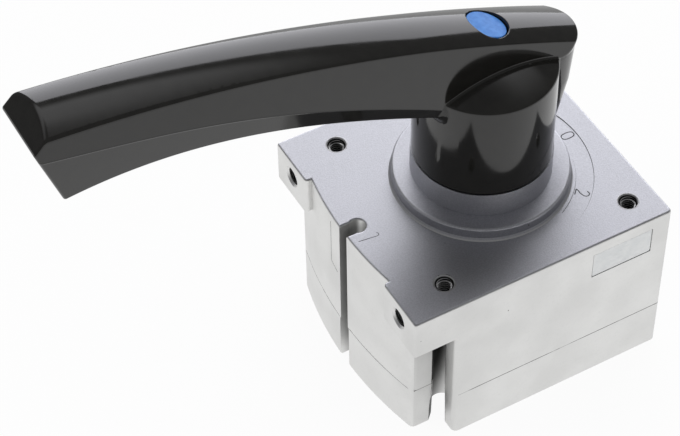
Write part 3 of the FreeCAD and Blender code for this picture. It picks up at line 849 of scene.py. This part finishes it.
@dataclass
class Lever:
    """Moulded lever with hub, nose and handle, as one shape given by its signed distance."""

    plate: float = 53.4
    hub_radius: float = 18.6
    hub_bottom: float = 65.15
    rim: float = 94.2
    dome: float = 4.3
    edge_line: tuple[float, ...] = (53.68, 39.65, -12.5, -0.4)
    low_line: tuple[float, ...] = (27.2, 51.0, -1.4, -15.7)
    crown: float = 1.75
    crown_grow: float = 0.0025
    crown_plain: tuple[float, float] = (1.15, 0.0075)
    half_width: float = 7.7
    width_grow: float = 0.0125
    width_from: float = 22.0
    tip: float = 123.2
    tip_height: float = 79.5
    tip_lean: float = 17.5
    nose_front: float = 25.4
    nose_rows: tuple[tuple[float, float, float], ...] = (
        (12.6, 2.8, 2.6), (27.0, 0.5, 5.4), (40.0, 0.0, 7.8), (60.0, 0.0, 19.5))
    nose_behind: float = 4.0
    side_lean: float = 0.02
    foot_lean: tuple[float, float] = (0.13, 0.3)
    bead: tuple[float, float, float] = (0.06, 0.17, 18.0)
    cap_slope: float = 21.63
    cap_height: float = 54.83
    cap_radius: float = 5.65
    cap_deep: float = 2.3
    seam_band: float = 0.9
    seam_side: float = 6.5
    seam_end: float = -17.0
    flat_share: float = 0.985
    top: float = 140.6
    voxel: float = 0.6
    slack: float = 2.0

    def height(self, line: tuple[float, ...], u: Array) -> Array:
        """Height of a cubic line at a distance along the handle."""
        t = u / 100
        return self.plate + line[0] + line[1] * t + line[2] * t ** 2 + line[3] * t ** 3

    def rise(self, line: tuple[float, ...], u: Array) -> Array:
        """Slope of a cubic line at a distance along the handle."""
        t = u / 100
        return (line[1] + 2 * line[2] * t + 3 * line[3] * t ** 2) / 100

    def edge(self, u: Array) -> Array:
        """Height of the crown's edge at a distance along the handle."""
        return self.height(self.edge_line, u)

    def low(self, u: Array) -> Array:
        """Height of the bar's lower edge at a distance along the handle."""
        return self.height(self.low_line, u)

    def seam(self, u: Array) -> Array:
        """Height of the moulding seam at a distance along the handle."""
        t = np.maximum(u, 0) / 100
        share = 0.08 + 0.35 * t + 0.13 * t ** 3
        return self.low(u) + share * (self.edge(u) - self.low(u))

    def bar(self, x: Array, y: Array, z: Array) -> Array:
        """Signed distance of the bar with its nose and tip.

        Args:
            x: Places along X.
            y: Places along Y.
            z: Heights.

        Returns:
            Distance of each place, negative inside.
        """
        u = -x
        edge, low, seam = self.edge(u), self.low(u), self.seam(u)
        rise, fall = self.rise(self.edge_line, u), self.rise(self.low_line, u)
        along = np.maximum(u, 0)
        top_wide = self.half_width + self.width_grow * np.maximum(u - self.width_from, 0)
        crown = self.crown + self.crown_grow * along
        edge = edge + self.crown_plain[0] + self.crown_plain[1] * along - crown
        seam_wide = top_wide + self.side_lean * (edge - seam)
        lean = self.foot_lean[0] + self.foot_lean[1] / np.maximum(seam - low, 1.0)
        wide = np.where(z > seam, top_wide + self.side_lean * (edge - z),
                        seam_wide - lean * (seam - z))
        proud, reach, start = self.bead
        bead = proud * np.exp(-((z - seam) / reach) ** 2) * (u > start)
        over = (z - edge - crown * (1 - (y / top_wide) ** 2)) / np.sqrt(1 + rise ** 2)
        beside = np.abs(y) - wide - bead
        under = (low - z) / np.sqrt(1 + fall ** 2)
        shape = round_max(over, beside, 0.35 + 0.45 * np.clip(u / 100, 0, 1))
        shape = round_max(shape, under, 0.45)
        height = z - self.plate - self.tip_height
        a = math.radians(self.tip_lean)
        face = (u - self.tip) * math.cos(a) - height * math.sin(a)
        bevel = (u - self.tip + height) * DIAGONAL
        shape = round_max(shape, round_max(face, bevel, 0.5), 0.7)
        high = z - self.plate
        highs, backs, radii = np.array(self.nose_rows).T
        radius = np.interp(high, highs, radii)
        front = self.nose_front - np.interp(high, highs, backs)
        nose = (np.hypot(np.maximum(x - front + radius, 0), y) - radius) * 0.95
        prow = np.maximum(round_max(nose, highs[0] - high, 0.5), high - highs[1])
        front_part = np.minimum(round_max(shape, nose, 0.3), prow)
        return np.where(x > self.nose_behind, front_part, shape)

    def hub(self, x: Array, y: Array, z: Array) -> Array:
        """Signed distance of the hub with its dome."""
        ball = (self.hub_radius ** 2 + self.dome ** 2) / (2 * self.dome)
        middle = self.rim + self.dome - ball
        side = np.hypot(x, y) - self.hub_radius
        over = np.sqrt(x * x + y * y + (z - middle) ** 2) - ball
        return round_max(round_max(side, over, 0.45), self.hub_bottom - z, 0.25)

    def distance(self, points: Array) -> Array:
        """Signed distance of the whole lever.

        Args:
            points: Places, three numbers each.

        Returns:
            Distance of each place, negative inside.
        """
        x, y, z = points[..., 0], points[..., 1], points[..., 2]
        fillet = 0.55 + 1.6 * np.clip((-x - 14.0) / 3.0, 0, 1) * np.clip((93.5 - z) / 3.0, 0, 1)
        shape = round_min(self.bar(x, y, z), self.hub(x, y, z), fillet)
        a = math.radians(self.cap_slope)
        dz = z - self.plate - self.cap_height
        axial = x * math.sin(a) + dz * math.cos(a)
        radial = np.hypot(x * math.cos(a) - dz * math.sin(a), y)
        well = np.maximum(radial - self.cap_radius, -self.cap_deep - axial)
        return round_max(shape, -well, 0.22)

    def slope(self, points: Array) -> Array:
        """Gradient of the distance."""
        step = 1e-3
        out = np.empty_like(points)
        for k in range(3):
            shift = np.zeros(3)
            shift[k] = step
            rise = self.distance(points + shift) - self.distance(points - shift)
            out[:, k] = rise / (2 * step)
        return out

    def settle(self, points: Array, rounds: int = 4) -> Array:
        """Moves places onto the surface.

        Args:
            points: Places near the surface.
            rounds: Number of Newton steps.

        Returns:
            Places on the surface.
        """
        for _ in range(rounds):
            g = self.slope(points)
            size = np.maximum((g * g).sum(1), 0.2)
            step = self.distance(points) / size
            points = points - g * np.clip(step, -0.4, 0.4)[:, None]
        return points

    def skin(self) -> tuple[Array, list]:
        """Even quads over the whole surface."""
        size = self.voxel
        lows = np.array([-self.tip, -self.hub_radius, self.hub_bottom]) - self.slack
        highs = np.array([self.nose_front + self.slack, self.hub_radius + self.slack, self.top])
        axes = [np.arange(a, b, size) for a, b in zip(lows, highs)]
        grid = np.stack(np.meshgrid(*axes, indexing="ij"), -1)
        volume = openvdb.FloatGrid()
        volume.copyFromArray(self.distance(grid).astype(np.float32))
        points, _, quads = volume.convertToPolygons(isovalue=0.0, adaptivity=0.0)
        return self.settle(points.astype(float) * size + lows), quads

    def refined(self, points: Array, faces: list, rounds: int) -> bpy.types.Mesh:
        """Splits the faces at edges and fine lines, and sets them on the surface.

        Args:
            points: Corners of the even skin.
            faces: Its faces.
            rounds: How many times the faces at edges are split.

        Returns:
            The finished mesh in metres.
        """
        mesh = bpy.data.meshes.new("lever_moulding")
        mesh.from_pydata(points.tolist(), [], faces.tolist())
        work = bmesh.new()
        work.from_mesh(mesh)
        for level in range(rounds):
            places = np.array([v.co for v in work.verts], float)
            ups = self.slope(places)
            ups /= np.linalg.norm(ups, axis=1)[:, None]
            near = np.abs(places[:, 2] - self.seam(-places[:, 0])) < self.seam_band / (level + 1)
            near &= np.abs(places[:, 1]) > self.seam_side
            near &= places[:, 0] < self.seam_end
            bends = []
            for e in work.edges:
                a, b = e.verts[0].index, e.verts[1].index
                if ups[a] @ ups[b] < self.flat_share or (near[a] and near[b]):
                    bends.append(e)
            chosen = {f for e in bends for f in e.link_faces}
            edges = list({e for f in chosen for e in f.edges})
            bmesh.ops.subdivide_edges(work, edges=edges, cuts=1, use_grid_fill=True)
            work.verts.ensure_lookup_table()
            work.verts.index_update()
            places = self.settle(np.array([v.co for v in work.verts], float), 3)
            for v, p in zip(work.verts, places):
                v.co = p
        work.to_mesh(mesh)
        work.free()
        places = self.settle(np.array([v.co for v in mesh.vertices], float), 2)
        ups = self.slope(places)
        ups /= np.linalg.norm(ups, axis=1)[:, None]
        mesh.vertices.foreach_set("co", (places * MM).astype(np.float32).ravel())
        mesh.update()
        mesh.shade_smooth()
        mesh.normals_split_custom_set_from_vertices(ups.tolist())
        return mesh

    def build(self) -> None:
        """Makes the lever that stands for the frame's plain one."""
        points, quads = self.skin()
        mesh = self.refined(points, quads, 2)
        finish = PlasticFinish("lever_plastic", (0.0125, 0.012, 0.0105), (0.010, 0.0096, 0.0084),
                               0.07, 0.12, 0.004)
        mesh.materials.append(finish.material())
        thing = bpy.data.objects.new("lever_moulding", mesh)
        bpy.context.scene.collection.objects.link(thing)
        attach(thing, Body.ROTOR.value)
        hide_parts("lever")
        LOG.info("lever_moulding: %d faces", len(mesh.polygons))


def dress(node: bpy.types.Object, material: bpy.types.Material) -> None:
    """Gives a node of the frame one finish.

    Args:
        node: Object of the node.
        material: Its finish.
    """
    node.data.materials.clear()
    node.data.materials.append(material)


@dataclass
class Trims:
    """Cap, label and the pieces inside the valve."""

    spring_end: float = 9.5
    spring_height: float = 31.0
    spring_keep: float = 0.82

    def build(self, nodes: dict) -> None:
        """Gives every remaining node its finish.

        Args:
            nodes: Objects of the frame's nodes.
        """
        plastics = {
            "cap_paint": ((0.06, 0.26, 0.70), (0.03, 0.19, 0.60), 0.5, 0.65, 0.02, 1.6),
            "seal_rubber": ((0.02, 0.02, 0.02), (0.014, 0.014, 0.014), 0.55, 0.7, 0.01, 0.8),
            "seat_polymer": ((0.75, 0.72, 0.62), (0.68, 0.65, 0.56), 0.4, 0.5, 0.006),
            "disc_polymer": ((0.2, 0.19, 0.17), (0.15, 0.145, 0.13), 0.35, 0.45, 0.006),
        }
        metals = {
            "label_film": ((0.78, 0.79, 0.79), (0.73, 0.745, 0.75), 0.45),
            "screw_steel": ((0.16, 0.16, 0.165), (0.1, 0.1, 0.105), 0.4),
            "spring_steel": ((0.45, 0.45, 0.46), (0.35, 0.35, 0.36), 0.3),
            "driver_alloy": ((0.62, 0.62, 0.63), (0.54, 0.54, 0.55), 0.38),
            "ground_steel": ((0.6, 0.6, 0.62), (0.52, 0.52, 0.54), 0.25),
            "bush_bronze": ((0.55, 0.38, 0.2), (0.45, 0.3, 0.15), 0.35),
        }
        plan = {
            "cap_paint": ("cap_disc",),
            "label_film": ("label_plate",),
            "seal_rubber": ("housing_gasket", "spindle_seals"),
            "seat_polymer": ("port_seats",),
            "disc_polymer": ("control_disc", "thrust_washer"),
            "screw_steel": ("housing_screws", "lever_screw"),
            "spring_steel": ("disc_spring", "detent_spring_front", "detent_spring_rear",
                             "retaining_ring"),
            "driver_alloy": ("driver",),
            "ground_steel": ("spindle", "stop_pins", "index_ring", "detent_plunger_front",
                             "detent_plunger_rear", "lever_washer"),
            "bush_bronze": ("lower_bush", "upper_bush"),
        }
        for finish, names in plan.items():
            if finish in plastics:
                material = PlasticFinish(finish, *plastics[finish]).material()
            else:
                material = MetalFinish(finish, *metals[finish]).material()
            for name in names:
                dress(nodes[name], material)
                LOG.info("%s: %s", name, finish)
        for name, sign in (("front", 1.0), ("rear", -1.0)):
            self.detent(nodes[f"detent_spring_{name}"], name)

    def detent(self, node: bpy.types.Object, name: str) -> None:
        """Makes a detent spring as a copy of the plain one that rides on the rotor, and hides the
        plain one.

        Args:
            node: The spring of the frame.
            name: Which of the two.
        """
        thing = bpy.data.objects.new(f"spring_of_{name}_plunger", node.data.copy())
        thing.matrix_world = node.matrix_world.copy()
        bpy.context.scene.collection.objects.link(thing)
        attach(thing, Body.ROTOR.value)
        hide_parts(node.name)
        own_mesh(thing)


@dataclass
class Studio:
    """Pale floor, one soft box, the room and the camera."""

    azimuth: float = -28.5
    elevation: float = 48.24
    roll: float = -1.108
    away: float = 594.2
    pan_right: float = -37.14
    pan_up: float = -12.02
    lens: float = 118.87
    height: float = 53.4
    floor_half: float = 6.0
    floor_glow: float = 0.94
    glow_turn: float = 75.0
    glow_rise: float = 50.0
    glow_edge: float = 0.6
    glow_level: float = 1.0
    glow_foot: tuple[float, float] = (0.62, 0.74)
    glow_head: tuple[float, float] = (1.0, 0.86)
    room_level: float = 0.19
    matt_level: float = 0.8

    def camera(self) -> None:
        """Sets up the camera at the picture's angle."""
        a, e, roll = (math.radians(v) for v in (self.azimuth, self.elevation, self.roll))
        back = Vector((math.sin(a) * math.cos(e), -math.cos(a) * math.cos(e), math.sin(e)))
        right = (-back).cross(Vector(UP)).normalized()
        up = right.cross(-back)
        r = right * math.cos(roll) + up * math.sin(roll)
        u = up * math.cos(roll) - right * math.sin(roll)
        middle = Vector((0, 0, self.height))
        place = (back * self.away + r * self.pan_right + u * self.pan_up + middle) * MM
        data = bpy.data.cameras.new("camera")
        data.lens = self.lens
        data.sensor_width = 36.0
        data.clip_start = 0.01
        data.clip_end = 20.0
        camera = bpy.data.objects.new("camera", data)
        turn = Matrix((r, u, back)).transposed().to_4x4()
        camera.matrix_world = Matrix.Translation(place) @ turn
        bpy.context.scene.collection.objects.link(camera)
        bpy.context.scene.camera = camera

    def floor(self) -> None:
        """Makes the white floor, which keeps a soft shadow."""
        mesh = bpy.data.meshes.new("floor")
        half = self.floor_half
        ends = [(-half, -half, 0), (half, -half, 0), (half, half, 0), (-half, half, 0)]
        mesh.from_pydata(ends, [], [(0, 1, 2, 3)])
        tree = Tree("floor_white")
        tree.finish(base_color=(0.86, 0.86, 0.86), roughness=0.9, specular_ior_level=0.0)
        glow = tree.add("ShaderNodeEmission")
        glow.inputs["Strength"].default_value = 1.0
        path = tree.add("ShaderNodeLightPath")
        seen = tree.most(path.outputs["Is Glossy Ray"], path.outputs["Is Transmission Ray"])
        seen = tree.most(path.outputs["Is Camera Ray"], seen)
        share = tree.times(seen, self.floor_glow)
        blend = tree.add("ShaderNodeMixShader")
        tree.links.new(share, blend.inputs[0])
        tree.links.new(tree.shader.outputs[0], blend.inputs[1])
        tree.links.new(glow.outputs[0], blend.inputs[2])
        out = tree.nodes["Material Output"]
        tree.links.new(blend.outputs[0], out.inputs["Surface"])
        mesh.materials.append(tree.material)
        thing = bpy.data.objects.new("floor", mesh)
        bpy.context.scene.collection.objects.link(thing)

    def world(self) -> None:
        """Makes the room: dim, with a pale patch high behind the object."""
        world = bpy.data.worlds.new("room")
        bpy.context.scene.world = world
        world.use_nodes = True
        nodes, links = world.node_tree.nodes, world.node_tree.links
        place = nodes.new("ShaderNodeTexCoord")
        toward = nodes.new("ShaderNodeVectorMath")
        toward.operation = "DOT_PRODUCT"
        toward.inputs[1].default_value = direction(self.glow_turn, self.glow_rise)
        level = nodes.new("ShaderNodeMapRange")
        level.interpolation_type = "SMOOTHSTEP"
        for name, value in (("From Min", self.glow_edge), ("From Max", 1.0),
                            ("To Min", 0.0), ("To Max", self.glow_level)):
            level.inputs[name].default_value = value
        links.new(place.outputs["Generated"], toward.inputs[0])
        links.new(toward.outputs["Value"], level.inputs["Value"])
        split = nodes.new("ShaderNodeSeparateXYZ")
        links.new(place.outputs["Generated"], split.inputs[0])
        shares = [level.outputs["Result"]]
        for low, high in (self.glow_foot, self.glow_head):
            band = nodes.new("ShaderNodeMapRange")
            band.interpolation_type = "SMOOTHSTEP"
            band.inputs["From Min"].default_value = low
            band.inputs["From Max"].default_value = high
            links.new(split.outputs["Z"], band.inputs["Value"])
            both = nodes.new("ShaderNodeMath")
            both.operation = "MULTIPLY"
            links.new(shares[-1], both.inputs[0])
            links.new(band.outputs["Result"], both.inputs[1])
            shares.append(both.outputs[0])
        room = nodes.new("ShaderNodeMath")
        room.operation = "ADD"
        room.inputs[1].default_value = self.room_level
        links.new(shares[-1], room.inputs[0])
        path = nodes.new("ShaderNodeLightPath")
        matt = nodes.new("ShaderNodeMix")
        matt.inputs[3].default_value = self.matt_level
        links.new(path.outputs["Is Diffuse Ray"], matt.inputs[0])
        links.new(room.outputs[0], matt.inputs[2])
        back = nodes["Background"]
        back.inputs["Color"].default_value = (0.985, 0.985, 1.0, 1.0)
        links.new(matt.outputs[0], back.inputs["Strength"])

    def lamp(self, name: str, turn: float, rise: float, away: float, size: tuple[float, float],
             level: float, colour: Colour = (1.0, 1.0, 1.0)) -> None:
        """Adds a soft box that faces the object.

        Args:
            name: Its name.
            turn: Angle of its direction from +X, in degrees.
            rise: Its angle above the floor, in degrees.
            away: Its distance in metres.
            size: Its width and height in metres.
            level: Brightness of its face, where 1 is white.
            colour: Its colour.
        """
        data = bpy.data.lights.new(name, "AREA")
        data.shape = "RECTANGLE"
        data.size, data.size_y = size
        data.energy = level * math.pi * size[0] * size[1]
        data.color = colour
        lamp = bpy.data.objects.new(name, data)
        way = direction(turn, rise)
        lamp.location = way * away + Vector((0, 0, self.height * MM))
        lamp.rotation_euler = way.to_track_quat("Z", "Y").to_euler()
        bpy.context.scene.collection.objects.link(lamp)

    def build(self) -> None:
        """Makes the whole studio."""
        self.camera()
        self.floor()
        self.world()
        self.lamp("back_box", 54.0, 18.5, 1.5, (1.5, 1.0), 2.5, (0.95, 0.95, 1.0))
        scene = bpy.context.scene
        scene.view_settings.view_transform = "Standard"


def direction(turn: float, rise: float) -> Vector:
    """Unit vector at an angle from +X and an angle above the floor, in degrees."""
    a, e = math.radians(turn), math.radians(rise)
    return Vector((math.cos(a) * math.cos(e), math.sin(a) * math.cos(e), math.sin(e)))


def corners(box: tuple[Vector, Vector]) -> list:
    """Corners of a box as plain lists."""
    return [list(map(float, corner)) for corner in box]


def main() -> None:
    """Builds the valve's looks around the frame and reports every piece."""
    logging.basicConfig(level=logging.INFO, format="%(name)s: %(message)s")
    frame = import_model()
    Studio().build()
    Housing().build(frame["nodes"])
    Lever().build()
    Trims().build(frame["nodes"])


if __name__ == "__main__":
    main()
